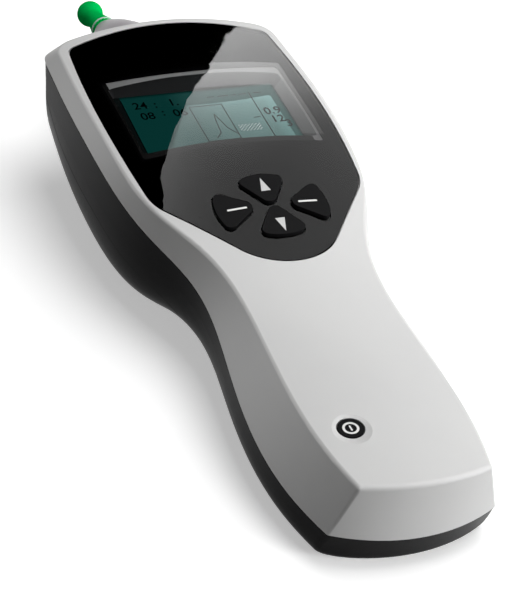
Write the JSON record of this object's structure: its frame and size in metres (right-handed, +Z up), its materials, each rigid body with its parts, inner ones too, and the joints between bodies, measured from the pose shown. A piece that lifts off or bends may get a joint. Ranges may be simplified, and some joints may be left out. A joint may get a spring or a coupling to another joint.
{
  "type": "tympanometer",
  "caption": "Handheld tympanometer: waisted two-part case, glossy fascia with sunk display and key pad, round power key, and a tapered probe with a soft ear tip.",
  "frame": {"origin": "middle of the overall box, on the surface that it lies on", "axes": "+Y along the case to the probe, +Z up from the surface, +X to the right of the display"},
  "size_m": [0.076, 0.2446, 0.0452],
  "materials": {
    "case_light": "fine satin",
    "case_dark": "fine satin",
    "lens_clear": "gloss",
    "print_black": "printed film",
    "bezel_grey": "satin",
    "display_glass": "gloss",
    "backlight_white": "matt",
    "key_black": "satin",
    "mat_grey": "matt",
    "spring_steel": "bright",
    "board_green": "solder resist",
    "chip_black": "matt",
    "socket_white": "satin",
    "cable_white": "satin",
    "tray_black": "satin",
    "cell_wrap": "printed wrap",
    "lead_red": "satin",
    "motor_steel": "satin",
    "pump_plastic": "satin",
    "seal_black": "satin",
    "tube_silicone": "satin",
    "probe_grey": "satin",
    "receiver_metal": "satin",
    "nose_grey": "satin",
    "ring_pale": "satin",
    "tip_green": "soft gloss",
    "screw_steel": "zinc"
  },
  "bodies": {
    "case": {"front_case": "case_light", "rear_case": "case_dark", "fascia_lens": "lens_clear", "fascia_mask": "print_black", "display_bezel": "bezel_grey", "lcd_glass": "display_glass", "lcd_backlight": "backlight_white", "key_mat": "mat_grey", "key_domes": "spring_steel", "power_switch": "chip_black", "main_board": "board_green", "power_board": "board_green", "board_chips": "chip_black", "board_sockets": "socket_white", "board_cable": "cable_white", "battery_tray": "tray_black", "aa_cell_1": "cell_wrap", "aa_cell_2": "cell_wrap", "aa_cell_3": "cell_wrap", "aa_cell_4": "cell_wrap", "battery_contacts": "spring_steel", "battery_leads": "lead_red", "pump_motor": "motor_steel", "pump_cylinder": "pump_plastic", "pump_frame": "pump_plastic", "pressure_sensor": "chip_black", "probe_body": "probe_grey", "probe_speaker": "receiver_metal", "probe_mic": "receiver_metal", "probe_tip": "probe_grey", "nose_seal": "seal_black", "air_tube": "tube_silicone", "sensor_tube": "tube_silicone", "probe_wires": "lead_red", "case_screws": "screw_steel", "board_screws": "screw_steel", "pump_screws": "screw_steel"},
    "key_up": {"key_up": "key_black"},
    "key_down": {"key_down": "key_black"},
    "key_left": {"key_left": "key_black"},
    "key_right": {"key_right": "key_black"},
    "power_key": {"power_key": "key_black"},
    "battery_cover": {"battery_cover": "case_dark"},
    "nose": {"nose_cone": "nose_grey"},
    "ear_tip": {"ear_tip": "tip_green", "probe_ring": "ring_pale"},
    "lead_screw": {"lead_screw": "spring_steel"},
    "piston": {"pump_piston": "pump_plastic", "piston_seal": "seal_black"}
  },
  "joints": [
    {"name": "key_up_press", "type": "slide", "parent": "case", "child": "key_up", "axis": [0, 0.0823, -0.9966], "range_m": [0, 0.0006], "stiffness_N_per_m": 1500},
    {"name": "key_down_press", "type": "slide", "parent": "case", "child": "key_down", "axis": [0, 0.0823, -0.9966], "range_m": [0, 0.0006], "stiffness_N_per_m": 1500},
    {"name": "key_left_press", "type": "slide", "parent": "case", "child": "key_left", "axis": [0, 0.0823, -0.9966], "range_m": [0, 0.0006], "stiffness_N_per_m": 1500},
    {"name": "key_right_press", "type": "slide", "parent": "case", "child": "key_right", "axis": [0, 0.0823, -0.9966], "range_m": [0, 0.0006], "stiffness_N_per_m": 1500},
    {"name": "power_key_press", "type": "slide", "parent": "case", "child": "power_key", "axis": [0, 0.0823, -0.9966], "range_m": [0, 0.0004], "stiffness_N_per_m": 2000},
    {"name": "battery_cover_off", "type": "slide", "parent": "case", "child": "battery_cover", "axis": [0, 0.0823, -0.9966], "range_m": [0, 0.025]},
    {"name": "nose_turn", "type": "hinge", "parent": "case", "child": "nose", "pos_m": [0, 0.07166, 0.02355], "axis": [0, 0.9898, -0.1423], "range_deg": [0, 90]},
    {"name": "ear_tip_off", "type": "slide", "parent": "case", "child": "ear_tip", "axis": [0, 0.9898, -0.1423], "range_m": [0, 0.012]},
    {"name": "lead_screw_turn", "type": "hinge", "parent": "case", "child": "lead_screw", "pos_m": [-0.011, 0.01415, 0.02051], "axis": [0, 0.9966, 0.0823], "range_deg": [0, 1440]},
    {"name": "piston_slide", "type": "slide", "parent": "case", "child": "piston", "axis": [0, 0.9966, 0.0823], "range_m": [0, 0.008]}
  ],
  "couplings": [
    {"joint": "lead_screw_turn", "follows": "piston_slide", "rad_per_m": 3141.6}
  ]
}
